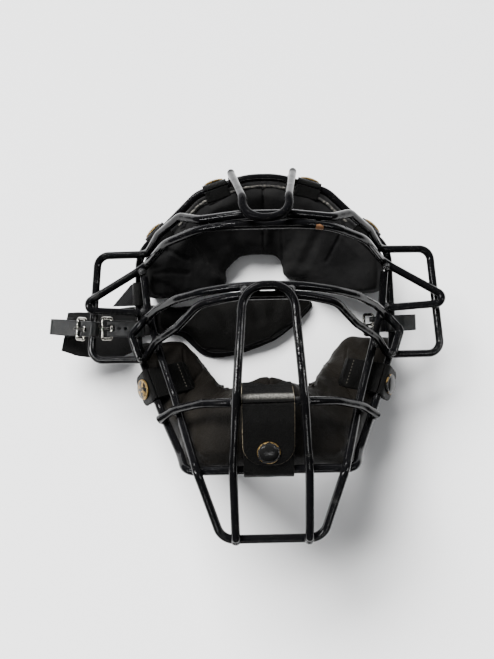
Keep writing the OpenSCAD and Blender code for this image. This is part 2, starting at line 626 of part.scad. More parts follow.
module harness_panel() {
    color([0.14, 0.14, 0.14]) intersection() {
        on_ear() wide(60, 0) band(panel_line, panel_t);
        linear_extrude(80) polygon([[-161.5, -18], [-156, 12.3], [-140, 12.5], [-118, 15.5], [-97, 17.5],
            [-90, 17.5], [-90, -6.5], [-102.4, -8], [-105, -20], [-118, -25.5], [-138.7, -24.4],
            [-152, -22.5]]);
    }
}
module keeper_left() {
    lean = atan2(panel_line[1].y - panel_line[0].y, panel_line[1].x - panel_line[0].x);
    mid = panel_line[0] * 0.56 + panel_line[1] * 0.44;
    color([0.18, 0.18, 0.18]) on_ear() translate([mid.x, buckle_y, mid.y]) rotate([0, -lean, 0])
        translate([0, 0, panel_t / 2 + 1.5]) difference() {
            cube([5, strap_w + 3.4, 4.6], center = true);
            translate([0, 0, -0.05]) cube([9, strap_w + 0.8, 2.9], center = true);
        }
}

// Rear head pad lying on the floor inside the pads, its outline from points run smoothly.
pad_outline = [[-86, -4.5], [-66, -8], [-48, -24], [-26, -25], [0, -17], [15, -10], [30, 2], [39.5, 11.5],
    [41.5, 17], [34, 25.5], [10, 28], [-30, 23.5], [-60, 17], [-86, 15]];
function smooth(p, n) = [for (i = [0 : len(p) - 1]) for (j = [0 : n - 1]) let (t = j / n,
    a = at(p, i - 1), b = p[i], c = at(p, i + 1), d = at(p, i + 2))
    (b * 2 + (c - a) * t + (a * 2 - b * 5 + c * 4 - d) * t * t + (b * 3 - a - c * 3 + d) * t * t * t) / 2];
pad_round = smooth(pad_outline, 4);
pad_middle = [-22, 3];
backing_t = 1.6;
module rear_head_pad() {
    z0 = backing_t + 0.05;
    steps = [[0.02, 0], [0.95, 0], [0.985, 0.16], [1, 0.42], [0.985, 0.66], [0.93, 0.86],
        [0.8, 0.97], [0.55, 1], [0.02, 0.96]];
    color([0.2, 0.2, 0.2]) skin([for (k = steps) [for (q = rev(pad_round))
        let (r = pad_middle + (q - pad_middle) * k.x) [r.x, r.y, z0 + k.y * rear_pad_t]]]);
}
module rear_backing() {
    color([0.1, 0.1, 0.1]) linear_extrude(backing_t)
        polygon([for (q = pad_round) pad_middle + (q - pad_middle) * 1.02 - [2, 1]]);
}

// Right strap: wrapped round the ring's side run, one end folded, one end in a buckle.
right_bar = [-13.2, -4.6];
right_end = [-20.4, -3.4];
module on_right_side() {
    on_wire(side_run[0], side_run[1], side_s) mirror([0, 0, 1]) children();
}
module strap_right() {
    color([0.15, 0.15, 0.15]) on_right_side() {
        difference() {
            cylinder(h = strap_w, r = strap_r + strap_t / 2, center = true, $fn = fine);
            cylinder(h = 2 * strap_w, r = wire_r + wrap_gap, center = true, $fn = fine);
        }
        difference() {
            union() {
                tall(strap_w - 0.2) band(concat([[-0.6, -strap_r]], arc(right_bar, loop_r, 88, 265, 12),
                    [[-9, -4.4]]), strap_t - 0.2);
                tall(strap_w - 0.2) band(concat([[0.6, strap_r], [8, 5], [14.4, 4.7]],
                    arc([14.4, 1.5], 3.2, 78, -80, 8), [[8, -2.4]]), strap_t - 0.2);
            }
            cylinder(h = 2 * strap_w, r = strap_r + 0.3, center = true, $fn = fine);
            translate([right_bar.x, 0, 0]) cube([8, 20, slot_w], center = true);
        }
    }
}
module buckle_right() {
    color([0.7, 0.7, 0.68]) on_right_side() flat_wire_frame(right_bar, right_end);
}
module prong_right() {
    color([0.7, 0.7, 0.68]) on_right_side() flat_prong(right_bar, right_end);
}

rear_ring();
brow_bar();
ear_guard_loop();
eye_bar();
centre_loop();
throat_bar();
chin_bar();
top_loop();
weld_beads();
forehead_pad();
chin_pad();
forehead_piping();
forehead_tabs();
cheek_tabs();
chin_tab();
snap_studs();
chin_flap();
chin_cap();
cheek_flap_right();
cheek_cap_right();
cheek_flap_left();
cheek_cap_left();
brow_flap_right();
brow_cap_right();
brow_flap_left();
brow_cap_left();
temple_flap_right();
temple_cap_right();
temple_flap_left();
temple_cap_left();
side_strap_left();
inner_buckle_left();
inner_prong_left();
elastic_left();
elastic_strip_left();
ear_loop_left();
outer_buckle_left();
outer_prong_left();
strap_tail_left();
harness_panel();
keeper_left();
rear_head_pad();
rear_backing();
strap_right();
buckle_right();
prong_right();
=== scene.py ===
import math

import bmesh
import bpy
import numpy as np
from mathutils import Matrix, Vector, noise
from mathutils.bvhtree import BVHTree


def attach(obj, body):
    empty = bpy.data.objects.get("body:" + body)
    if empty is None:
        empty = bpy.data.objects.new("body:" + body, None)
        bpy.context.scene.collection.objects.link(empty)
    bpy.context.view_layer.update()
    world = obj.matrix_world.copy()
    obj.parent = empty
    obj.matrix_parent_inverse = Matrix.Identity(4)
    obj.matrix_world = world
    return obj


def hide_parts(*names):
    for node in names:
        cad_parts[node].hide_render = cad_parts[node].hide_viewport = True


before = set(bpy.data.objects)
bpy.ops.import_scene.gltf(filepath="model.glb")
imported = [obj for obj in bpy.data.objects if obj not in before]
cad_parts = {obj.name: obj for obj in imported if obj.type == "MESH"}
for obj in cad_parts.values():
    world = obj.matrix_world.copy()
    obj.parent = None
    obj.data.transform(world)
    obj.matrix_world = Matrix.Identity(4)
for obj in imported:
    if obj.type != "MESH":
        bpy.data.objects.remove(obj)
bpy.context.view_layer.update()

# Camera: hand height straight above the mask, which lies on its back, a little left of its middle.
# The picture's frame is 494 by 659, and the long side is the sensor's.
camera = bpy.data.objects.new("camera", bpy.data.cameras.new("camera"))
bpy.context.scene.collection.objects.link(camera)
camera.location = (-0.014, -0.0044, 0.478)
camera.rotation_euler = (0, 0, math.radians(-1.25))
sensor_mm, lens_px, frame_px = 36, 571, 659
camera.data.sensor_width = sensor_mm
camera.data.lens = sensor_mm * lens_px / frame_px
camera.data.clip_start = 0.01
bpy.context.scene.camera = camera

# Studio: one large soft lamp beyond the forehead and a little to the left, in a dim pale room. Reflections
# show neither the lamp nor most of the room; four narrow strips give the wires their thin glints.
world = bpy.data.worlds.new("room")
bpy.context.scene.world = world
world.use_nodes = True
room = world.node_tree.nodes["Background"]
room.inputs["Color"].default_value = (0.97, 0.98, 1, 1)
sight = world.node_tree.nodes.new("ShaderNodeLightPath")
level = world.node_tree.nodes.new("ShaderNodeMapRange")
room_light, room_in_reflections = 0.33, 0.03
level.inputs["To Min"].default_value = room_light
level.inputs["To Max"].default_value = room_in_reflections
world.node_tree.links.new(sight.outputs["Is Glossy Ray"], level.inputs["Value"])
world.node_tree.links.new(level.outputs["Result"], room.inputs["Strength"])
for name, middle, size, power, glint in [
    ("lamp_forehead", (-1.9, 3.7, 2.9), (3.6, 2.0), 1650, False),
    ("strip_forehead", (-0.55, 1.25, 1.1), (0.7, 0.08), 9, True),
    ("strip_left", (-0.75, -0.05, 1.05), (0.05, 0.7), 9, True),
    ("strip_right", (0.8, -0.1, 0.9), (0.04, 0.6), 3, True),
    ("strip_throat", (0.05, -0.9, 1.1), (0.6, 0.04), 1.6, True),
]:
    lamp = bpy.data.objects.new(name, bpy.data.lights.new(name, "AREA"))
    bpy.context.scene.collection.objects.link(lamp)
    lamp.data.shape = "RECTANGLE"
    lamp.data.size, lamp.data.size_y = size
    lamp.data.energy = power
    lamp.visible_diffuse = not glint
    lamp.visible_glossy = glint
    lamp.location = middle
    lamp.rotation_euler = (Vector((0, 0, 0.04)) - Vector(middle)).to_track_quat("-Z", "Y").to_euler()


# Floor: one pale sheet of paper under the mask, its colour painted greyer beyond the forehead: painted shade
# that darkens the backdrop towards the top.
# The first shader maths is here: Flow wraps a socket and gives it sums, products and nodes.
class Flow:
    """A number, colour or vector on its way through the nodes of a material."""

    def __init__(self, tree, socket):
        self.tree = tree
        self.socket = socket

    def node(self, kind, settings=None, out=0, **values):
        """A node of any type: its settings first, then the values or links of its sockets."""
        made = self.tree.nodes.new("ShaderNode" + kind)
        for name, value in (settings or {}).items():
            setattr(made, name, value)
        for name, value in values.items():
            socket = made.inputs[int(name[1:]) if name[1:].isdigit() else name.replace("_", " ")]
            if isinstance(value, Flow):
                self.tree.links.new(value.socket, socket)
            else:
                socket.default_value = value
        return Flow(self.tree, made.outputs[out])

    def maths(self, operation, a, b=0.0):
        return self.node("Math", {"operation": operation}, _0=a, _1=b)

    def __add__(self, other):
        return self.maths("ADD", self, other)

    def __radd__(self, other):
        return self.maths("ADD", other, self)

    def __sub__(self, other):
        return self.maths("SUBTRACT", self, other)

    def __rsub__(self, other):
        return self.maths("SUBTRACT", other, self)

    def __mul__(self, other):
        return self.maths("MULTIPLY", self, other)

    def __rmul__(self, other):
        return self.maths("MULTIPLY", other, self)

    def grain(self, scale, detail=2.0, roughness=0.5):
        """Noise of so many lumps a metre."""
        return self.node("TexNoise", None, Vector=self, Scale=scale, Detail=detail, Roughness=roughness)

    def fade(self, low, high):
        """0 below low, 1 above high, smooth between."""
        return self.node("MapRange", {"interpolation_type": "SMOOTHSTEP"}, _0=self, _1=low, _2=high)

    def blend(self, first, second):
        """First colour where this is 0, second where it is 1."""
        a, b = [v if isinstance(v, Flow) else (*v, 1) for v in (first, second)]
        return self.node("Mix", {"data_type": "RGBA"}, 2, _0=self, _6=a, _7=b)

    def relief(self, depth):
        """A surface direction from this height, depth in metres."""
        return self.node("Bump", None, Strength=1.0, Distance=depth, Height=self)


def finish(name, paint):
    """A material: paint gets the object's coordinates and returns values for the shader's sockets."""
    made = bpy.data.materials.new(name)
    made.use_nodes = True
    tree = made.node_tree
    shader = tree.nodes["Principled BSDF"]
    place = Flow(tree, tree.nodes.new("ShaderNodeTexCoord").outputs["Object"])
    for socket, value in paint(place).items():
        if isinstance(value, Flow):
            tree.links.new(value.socket, shader.inputs[socket])
        else:
            shader.inputs[socket].default_value = value
    return made


def paper(place):
    """Pale paper, painted greyer beyond the forehead as painted shade of the backdrop."""
    along = place.node("SeparateXYZ", None, 1, Vector=place)
    shade = along.node("MapRange", None, _0=along, _1=-0.28, _2=0.28)
    return {"Base Color": shade.blend((0.97, 0.97, 0.97), (0.76, 0.762, 0.765)), "Roughness": 0.9}


def dressed(piece, material):
    """Gives a piece its one material."""
    piece.data.materials.clear()
    piece.data.materials.append(material)


shape = bmesh.new()
bmesh.ops.create_grid(shape, x_segments=1, y_segments=1, size=2.5)
floor = bpy.data.objects.new("floor", bpy.data.meshes.new("floor"))
shape.to_mesh(floor.data)
shape.free()
bpy.context.scene.collection.objects.link(floor)
dressed(floor, finish("floor_paper", paper))


# Cage: eight round steel wires, bent cold and dipped as one in thick black coating.
# The CAD wires stay; the coating is glossy, sags a little and has dull rubbed patches and dust.
def dip_coating(place, chip=None, mirror=0.2):
    """Thick black dip. chip is the middle of a spot knocked down to rusty steel, mirror its reflectance."""
    sag = place.grain(55, 2)
    peel = place.grain(420, 3, 0.6)
    rubbed = place.grain(85, 4, 0.65).fade(0.58, 0.76)
    dust = place.grain(2600, 1).fade(0.72, 0.77)
    colour = rubbed.blend((0.002, 0.002, 0.0023), (0.01, 0.01, 0.0095))
    colour = (dust * 0.45).blend(colour, (0.13, 0.12, 0.1))
    rough = 0.07 + rubbed * 0.2 + peel * 0.08 + dust * 0.3
    if chip:
        away = place.node("VectorMath", {"operation": "DISTANCE"}, 1, _0=place, _1=chip)
        bare = (away + place.grain(500, 3) * 0.003).fade(0.0047, 0.0043)
        colour = bare.blend(colour, place.grain(900, 3).blend((0.12, 0.05, 0.02), (0.26, 0.13, 0.06)))
        rough = rough + bare * 0.35
    height = sag * 0.7 + peel * 0.1
    return {
        "Base Color": colour,
        "Roughness": rough,
        "Specular IOR Level": mirror,
        "Normal": height.relief(0.0009),
    }


coating = finish("dip_coating", dip_coating)
chipped = finish("dip_coating_chipped", lambda place: dip_coating(place, (0.0351, 0.0608, 0.1025)))
for wire in ("rear_ring", "ear_guard_loop", "eye_bar", "centre_loop", "throat_bar", "chin_bar"):
    dressed(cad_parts[wire], coating)
dressed(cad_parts["brow_bar"], chipped)
steep = finish("dip_coating_steep", lambda place: dip_coating(place, None, 0.02))
dressed(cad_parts["top_loop"], steep)


# Weld beads: small lumps of spatter at the crossings, dipped with the wires so that they glisten.
# Each grows from a copy of its CAD ball, roughened as spatter is.
def copied(node, name):
    """A new piece that starts as a merged copy of a CAD node's mesh."""
    shape = bmesh.new()
    shape.from_mesh(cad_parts[node].data)
    bmesh.ops.remove_doubles(shape, verts=shape.verts, dist=2e-6)
    piece = bpy.data.objects.new(name, bpy.data.meshes.new(name))
    shape.to_mesh(piece.data)
    shape.free()
    bpy.context.scene.collection.objects.link(piece)
    return piece


def remeshed(piece, voxel, smoothing=2):
    """The piece with its skin made anew in small even faces, edges rounded by smoothing."""
    change = piece.modifiers.new("skin", "REMESH")
    change.mode = "VOXEL"
    change.voxel_size = voxel
    change.use_smooth_shade = True
    if smoothing:
        soft = piece.modifiers.new("soft", "SMOOTH")
        soft.factor = 0.5
        soft.iterations = smoothing
    return baked(piece)


def baked(piece):
    """Applies the piece's modifiers to its mesh."""
    seen = piece.evaluated_get(bpy.context.evaluated_depsgraph_get())
    mesh = bpy.data.meshes.new_from_object(seen)
    piece.modifiers.clear()
    piece.data = mesh
    mesh.shade_smooth()
    return piece


floor_gap = 0.0001


def moved(piece, push):
    """Moves every point along its normal by push(points, normals), in metres, and keeps it off the floor."""
    mesh = piece.data
    count = len(mesh.vertices)
    at = np.empty(count * 3)
    mesh.vertices.foreach_get("co", at)
    at = at.reshape(-1, 3)
    normal = np.array([v.vector[:] for v in mesh.vertex_normals])
    at += normal * np.asarray(push(at, normal)).reshape(-1, 1)
    at[:, 2] = np.maximum(at[:, 2], floor_gap)
    mesh.vertices.foreach_set("co", at.ravel())
    mesh.update()
    return piece


def ripple(scale, height, seed=0.0):
    """A push for moved: soft noise with so many lumps a metre."""
    shift = Vector((seed, seed * 2, 0))
    return lambda at, normal: [noise.noise(Vector(p) * scale + shift) * height for p in at]


beads = remeshed(copied("weld_beads", "weld_spatter"), 0.0005, 0)
moved(beads, ripple(520, 0.0004))
moved(beads, ripple(1300, 0.00025))


def spatter(place):
    """The same dip over a weld, brighter and rougher."""
    peel = place.grain(900, 3, 0.7)
    return {
        "Base Color": peel.blend((0.005, 0.005, 0.0055), (0.016, 0.016, 0.016)),
        "Roughness": 0.08 + peel * 0.12,
        "Normal": peel.relief(0.0006),
    }


dressed(beads, finish("weld_coating", spatter))
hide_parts("weld_beads")
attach(beads, "cage")


# Forehead pad: an arch of foam in a dark woven cover, sewn with a seam down its middle and at its bends.
# The cover is blown up by its foam as cloth, then the seams and folds are pressed in.
def finer(piece, levels=1):
    """The piece with its faces divided and rounded so many times."""
    fine = piece.modifiers.new("fine", "SUBSURF")
    fine.levels = fine.render_levels = levels
    return baked(piece)


def stuffed(node, name, voxel, cap, shrink, pressure=4.0, frames=20):
    """A padded copy of a CAD solid: shrunk, remeshed, swollen as cloth and held within cap of its start."""
    piece = moved(remeshed(copied(node, name), voxel, 1), lambda at, normal: np.full(len(at), -shrink))
    start = np.array([v.co[:] for v in piece.data.vertices])
    cloth = piece.modifiers.new("cloth", "CLOTH")
    cloth.settings.use_pressure = True
    cloth.settings.uniform_pressure_force = pressure
    cloth.settings.effector_weights.gravity = 0
    cloth.point_cache.frame_start = 1
    cloth.point_cache.frame_end = frames
    scene = bpy.context.scene
    for step in range(1, frames + 1):
        scene.frame_set(step)
    seen = piece.evaluated_get(bpy.context.evaluated_depsgraph_get())
    now = np.array([v.co[:] for v in seen.data.vertices])
    piece.modifiers.clear()
    scene.frame_set(1)
    go = now - start
    far = np.linalg.norm(go, axis=1, keepdims=True)
    now = start + go * np.minimum(1, cap / np.maximum(far, 1e-9))
    now[:, 2] = np.maximum(now[:, 2], 2 * floor_gap)
    piece.data.vertices.foreach_set("co", now.ravel())
    piece.data.update()
    return finer(piece)


def away_from(at, path):
    """Distance in plan of every point from a path of (x, y) in millimetres."""
    best = np.full(len(at), 1e9)
    for a, b in zip(path, path[1:]):
        a, b = np.array(a) / 1000, np.array(b) / 1000
        way = b - a
        t = np.clip(((at[:, :2] - a) @ way) / (way @ way), 0, 1)
        best = np.minimum(best, np.linalg.norm(at[:, :2] - a - t[:, None] * way, axis=1))
    return best


def pressed(piece, paths, width, depth):
    """Presses grooves of this width and depth into the upper side along paths in plan, in millimetres."""
    def push(at, normal):
        total = np.zeros(len(at))
        for path in paths:
            near = np.clip(1 - away_from(at, path) / (width / 1000), 0, 1)
            total = np.maximum(total, near * near * (3 - 2 * near))
        return -total * depth / 1000 * np.clip(normal[:, 2] * 2 + 0.8, 0, 1)
    return moved(piece, push)


forehead = stuffed("forehead_pad", "forehead_cushion", 0.0032, 0.003, 0.0006)
finer(forehead)
middle_seam = [[(0.8, 45), (0.8, 116)]]
bend_seams = [[(16, 52), (15, 88)], [(-45, 50), (-66, 84)], [(50, 48), (68, 84)]]
slack_folds = [[(-18, 52), (-24, 78)], [(33, 48), (44, 70)], [(-33, 44), (-50, 66)], [(8, 52), (10, 72)]]
temple_creases = [[(-84, 40), (-72, 42), (-60, 41)], [(-82, 34), (-74, 31), (-68, 26)],
                  [(-60, 52), (-74, 58)]]
pressed(forehead, middle_seam, 1.6, 1.3)
pressed(forehead, bend_seams, 2.2, 1.1)
pressed(forehead, slack_folds, 7, 2.2)
pressed(forehead, temple_creases, 3.2, 1.5)
moved(forehead, ripple(60, 0.0010))
moved(forehead, ripple(170, 0.0003, 3.0))


def woven(dark, light, lint=0.5):
    """Matt woven cover between two colours, with worn lighter areas and a little lint."""
    def paint(place):
        worn = place.grain(28, 4, 0.6).fade(0.35, 0.75)
        mottle = place.grain(320, 3, 0.7)
        weave = place.grain(1900, 2, 0.6)
        speck = place.grain(1500, 2).fade(0.735, 0.765)
        colour = (worn * 0.6 + mottle * 0.4).blend(dark, light)
        return {
            "Base Color": (speck * lint).blend(colour, (0.07, 0.064, 0.052)),
            "Roughness": 0.78 + weave * 0.15,
            "Specular IOR Level": 0.15,
            "Normal": (weave * 0.35 + mottle * 0.6).relief(0.00035),
        }
    return paint


cover_cloth = finish("cover_cloth", woven((0.003, 0.003, 0.0032), (0.0095, 0.0093, 0.009)))
dressed(forehead, cover_cloth)
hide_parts("forehead_pad")
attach(forehead, "cage")


# Piping: a thin cord in a strip of the cover cloth, sewn round the pad's front edge along its whole length.
# Its cover is worn to a light speckle where it rubs.
piping = copied("forehead_piping", "forehead_cord_edge")
finer(piping, 2)
moved(piping, ripple(420, 0.00035))


def worn_cord(place):
    """Cover cloth over a cord, black with pale worn threads."""
    wear = place.grain(520, 4, 0.7).fade(0.42, 0.62)
    return {
        "Base Color": wear.blend((0.014, 0.014, 0.014), (0.085, 0.08, 0.07)),
        "Roughness": 0.75,
        "Normal": wear.relief(0.0003),
    }


dressed(piping, finish("worn_cord", worn_cord))
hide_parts("forehead_piping")
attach(piping, "cage")


# Chin pad: a foam cup with two cheek wings in smooth dark leather cloth, seamed in the middle and across
# each wing, its corners tucked beside the flap.
chin = stuffed("chin_pad", "chin_cushion", 0.0034, 0.003, 0.0006)
finer(chin)
pressed(chin, [[(0.5, -34), (0.5, -92)]], 1.5, 1.2)
wing_seams = [[(46, -30), (58, -46), (66, -62)], [(66, -20), (62, -38), (58, -46)],
              [(25, -44), (34, -52), (46, -58)]]
corner_tucks = [[(24, -42), (36, -50)], [(30, -40), (42, -52)], [(72, -20), (80, -30)]]
for side in (-1, 1):
    pressed(chin, [[(side * x, y) for x, y in path] for path in wing_seams], 1.5, 1.2)
    pressed(chin, [[(side * x, y) for x, y in path] for path in corner_tucks], 6, 2.4)
moved(chin, ripple(55, 0.0014, 5.0))
moved(chin, ripple(160, 0.0004, 2.0))


def smooth_hide(dark, light, rough, pebble):
    """Smooth leather or leather cloth: low sheen, fine creases, colour rubbed lighter in patches."""
    def paint(place):
        patch = place.grain(24, 3, 0.55).fade(0.3, 0.75)
        fine_grain = place.grain(900, 3, 0.6)
        cracks = place.node("TexVoronoi", {"feature": "DISTANCE_TO_EDGE"}, Vector=place, Scale=620)
        crease = cracks.fade(0.0, 0.22)
        scuff = place.grain(150, 5, 0.7).fade(0.6, 0.78)
        colour = (patch * 0.75 + fine_grain * 0.25).blend(dark, light)
        return {
            "Base Color": (scuff * 0.35).blend(colour, (0.018, 0.0168, 0.014)),
            "Roughness": rough + fine_grain * 0.14 - scuff * 0.08,
            "Specular IOR Level": 0.11,
            "Normal": (crease * 0.6 + fine_grain * 0.5).relief(pebble),
        }
    return paint


chin_hide = smooth_hide((0.0025, 0.0022, 0.0019), (0.007, 0.0061, 0.005), 0.5, 0.0002)
dressed(chin, finish("chin_leather_cloth", chin_hide))
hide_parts("chin_pad")
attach(chin, "cage")


# Snap tabs: thick leather strips sewn to the pads, folded over the wires and snapped on themselves.
# Each fixed half and each flap is its own piece with rounded raw edges; the cheek tabs show their stitches.
def hide_piece(node, name, body, material, voxel=0.0005, wave=0.00025, seed=0.0):
    """A leather piece from a CAD node: even skin, rounded edges and a slight wave."""
    piece = remeshed(copied(node, name), voxel, 3)
    moved(piece, ripple(95, wave, seed))
    dressed(piece, material)
    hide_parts(node)
    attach(piece, body)
    return piece


def sewn(piece, runs, cast, name, body, material, step, long, thick):
    """Stitches in thread along straight runs, dropped on the piece along cast. Sizes in millimetres."""
    tree = BVHTree.FromObject(piece, bpy.context.evaluated_depsgraph_get())
    cast = Vector(cast).normalized()
    shape = bmesh.new()
    for a, b in runs:
        a, b = Vector(a) / 1000, Vector(b) / 1000
        count = max(1, round((b - a).length * 1000 / step))
        for i in range(count):
            ends = []
            for t in (i + 0.5 - long / step / 2, i + 0.5 + long / step / 2):
                hit = tree.ray_cast(a.lerp(b, t / count) - cast * 0.02, cast)[0]
                if hit:
                    ends.append(hit - cast * thick * 0.0005)
            if len(ends) == 2:
                middle = (ends[0] + ends[1]) / 2
                turn = (ends[1] - ends[0]).to_track_quat("Z", "Y").to_matrix().to_4x4()
                size = Matrix.Diagonal((thick / 1000, thick / 1000, (ends[1] - ends[0]).length / 2, 1))
                bmesh.ops.create_uvsphere(shape, u_segments=8, v_segments=6, radius=1,
                                          matrix=Matrix.Translation(middle) @ turn @ size)
    thread = bpy.data.objects.new(name, bpy.data.meshes.new(name))
    shape.to_mesh(thread.data)
    shape.free()
    thread.data.shade_smooth()
    bpy.context.scene.collection.objects.link(thread)
    dressed(thread, material)
    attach(thread, body)


def pebbled_hide(place, raw_edge=0, fold=0, painted_highlight_spot=None, tongue=0.028):
    """Pebbled leather. Pale raw edge beyond raw_edge from the straight core of the chin flap, which is tongue
    long; a painted highlight of pale speckles across the top of the bend round y = fold, and one round the
    given spot. All in metres."""
    cell = place.node("TexVoronoi", {"feature": "SMOOTH_F1"}, Vector=place, Scale=1150, Smoothness=0.5)
    patch = place.grain(60, 4, 0.6)
    bright = place.grain(1300, 2).fade(0.6, 0.8)
    rubbed = (patch * 0.8 + bright * 0.3).fade(0.45, 0.85)
    colour = rubbed.blend((0.0018, 0.0018, 0.0017), (0.0062, 0.006, 0.0056))
    rough = 0.46 - rubbed * 0.1 + cell * 0.1
    if raw_edge:
        flap_root, flap_way, core_half = (-0.0015, -0.0516, 0.108), (0, -0.9688, -0.2479), 0.0031
        off = place.node("VectorMath", {"operation": "SUBTRACT"}, _0=place, _1=flap_root)
        down = off.node("VectorMath", {"operation": "DOT_PRODUCT"}, 1, _0=off, _1=flap_way) - tongue
        aside = off.node("SeparateXYZ", None, 0, Vector=off)
        aside = aside.maths("ABSOLUTE", aside) - core_half
        out = off.node("CombineXYZ", None, X=aside.maths("MAXIMUM", aside, 0),
                       Y=down.maths("MAXIMUM", down, 0))
        far = out.node("VectorMath", {"operation": "LENGTH"}, 1, _0=out)
        edge = far.fade(raw_edge, raw_edge + 0.0003) * place.grain(600, 3).fade(0.3, 0.5)
        colour = edge.blend(colour, (0.2, 0.17, 0.12))
    # Painted highlight: pale speckles lighten the colour across the top of the bend and round the given spot,
    # where a lamp's highlight would fall.
    painted_highlight = None
    if fold:
        along = place.node("SeparateXYZ", None, 1, Vector=place)
        height = place.node("SeparateXYZ", None, 2, Vector=place)
        band = along.fade(fold - 0.0038, fold + 0.0004) * along.fade(fold + 0.0034, fold)
        painted_highlight = band * height.fade(0.106, 0.11)
    if painted_highlight_spot:
        away = place.node("VectorMath", {"operation": "DISTANCE"}, 1, _0=place, _1=painted_highlight_spot)
        painted_highlight = away.fade(0.009, 0.003)
    if painted_highlight:
        colour = (painted_highlight * place.grain(1100, 3, 0.7).fade(0.3, 0.66)).blend(colour, (0.17, 0.165, 0.15))
        rough = rough - painted_highlight * 0.2
    return {
        "Base Color": colour,
        "Roughness": rough,
        "Specular IOR Level": 0.14,
        "Normal": ((1.0 - cell) * 0.8 + patch * 0.3).relief(0.0004),
    }


def thread_paint(place):
    """Waxed thread, greyed by wear."""
    ply = place.grain(2400, 2)
    return {"Base Color": ply.blend((0.02, 0.019, 0.017), (0.08, 0.074, 0.06)), "Roughness": 0.7,
            "Normal": ply.relief(0.0002)}


tab_hide = finish("tab_hide", pebbled_hide)
thread = finish("waxed_thread", thread_paint)
hide_piece("forehead_tabs", "forehead_tab_roots", "cage", tab_hide)
# The left cheek tab's end gets a painted highlight round one spot.
cheek_hide = finish("cheek_tab_hide", lambda place: pebbled_hide(place, painted_highlight_spot=(-0.058, -0.039, 0.062)))
cheek_roots = hide_piece("cheek_tabs", "cheek_tab_roots", "cage", cheek_hide)
for side in (-1, 1):
    sewn(cheek_roots, [((side * 60.5, -47.5, 70), (side * 69.5, -27.0, 70))], (0, 0, -1),
         f"cheek_stitches_{'right' if side > 0 else 'left'}", "cage", thread, 2.6, 1.6, 0.34)
chin_edge = 0.0136
# The chin tab's root gets a painted highlight across the top of its bend over the chin bar.
fold_highlight_hide = finish("chin_tab_hide", lambda place: pebbled_hide(place, chin_edge, fold=-0.0462, tongue=0.08))
hide_piece("chin_tab", "chin_tab_root", "cage", fold_highlight_hide)
flap_hide = finish("chin_flap_hide", lambda place: pebbled_hide(place, chin_edge))
hide_piece("chin_flap", "chin_tab_flap", "chin_flap", flap_hide, seed=7.0)
for where in ("cheek", "brow", "temple"):
    for side in ("right", "left"):
        hide_piece(f"{where}_flap_{side}", f"{where}_tab_flap_{side}", f"{where}_flap_{side}", tab_hide,
                   seed=len(where) + len(side))


# Snap caps: thin brass domes on the flaps, black enamel over most of each, worn through at the rim.
# Each is spun on the axis of its CAD cap; the studs under them are plain brass.
def cap_axis(node):
    """Middle of a cap's base and its outward direction, from the CAD cap's own points."""
    points = np.array([v.co[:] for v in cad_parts[node].data.vertices])
    middle = (points.max(0) + points.min(0)) / 2
    axis = np.linalg.svd(points - points.mean(0))[2][2]
    heights = (points - middle) @ axis
    wide = np.linalg.norm((points - middle) - np.outer(heights, axis), axis=1)
    if heights[wide > wide.max() * 0.9].mean() > 0:
        axis = -axis
    heights = (points - middle) @ axis
    ring = points[wide > wide.max() * 0.93]
    base = Vector(ring.mean(0)) - Vector(axis) * ((ring @ axis).mean() - (points @ axis).min())
    return base, Vector(axis), wide.max()


def snap_cap(node, name, body, material):
    """A cap spun from its outline: part of the cap's radius, and height in millimetres."""
    base, axis, wide = cap_axis(node)
    shape = bmesh.new()
    outline = [(0, 2.6), (0.25, 2.52), (0.5, 2.28), (0.66, 1.95), (0.76, 1.62), (0.8, 1.42), (0.84, 1.4),
               (0.89, 1.46), (0.95, 1.3), (0.99, 0.9), (1.0, 0.5), (0.97, 0.1), (0.9, 0.0), (0, 0.0)]
    points = [shape.verts.new((r * wide, 0, h / 1000)) for r, h in outline]
    edges = [shape.edges.new(pair) for pair in zip(points, points[1:])]
    bmesh.ops.spin(shape, geom=points + edges, cent=(0, 0, 0), axis=(0, 0, 1), angle=math.tau, steps=64,
                   use_merge=True)
    bmesh.ops.remove_doubles(shape, verts=shape.verts, dist=1e-6)
    bmesh.ops.recalc_face_normals(shape, faces=shape.faces)
    turn = axis.to_track_quat("Z", "Y").to_matrix().to_4x4()
    bmesh.ops.transform(shape, matrix=Matrix.Translation(base) @ turn, verts=shape.verts)
    piece = bpy.data.objects.new(name, bpy.data.meshes.new(name))
    shape.to_mesh(piece.data)
    shape.free()
    piece.data.shade_smooth()
    bpy.context.scene.collection.objects.link(piece)
    dressed(piece, material(base, wide))
    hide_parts(node)
    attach(piece, body)


def enamel(name, bare):
    """Black enamel worn to brass: bare is how much shows, from 0 to 1. Wear grows towards the cap's rim."""
    def made(base, wide):
        def paint(place):
            off = place.node("VectorMath", {"operation": "SUBTRACT"}, _0=place, _1=base)
            far = off.node("VectorMath", {"operation": "LENGTH"}, 1, _0=off) * (1 / wide)
            rim = far.fade(0.86, 0.96) * 0.36
            flakes = place.grain(330, 3, 0.6)
            worn = (flakes + rim + (bare - 0.5)).fade(0.62, 0.68)
            tarnish = place.grain(700, 4, 0.6)
            brass = tarnish.blend((0.16, 0.1, 0.035), (0.36, 0.24, 0.09))
            return {
                "Base Color": worn.blend((0.006, 0.006, 0.006), brass),
                "Metallic": worn * 0.85,
                "Roughness": 0.18 + worn * 0.22,
                "Specular IOR Level": 0.2,
                "Normal": (flakes * 0.4).relief(0.0003),
            }
        return finish(name, paint)
    return made


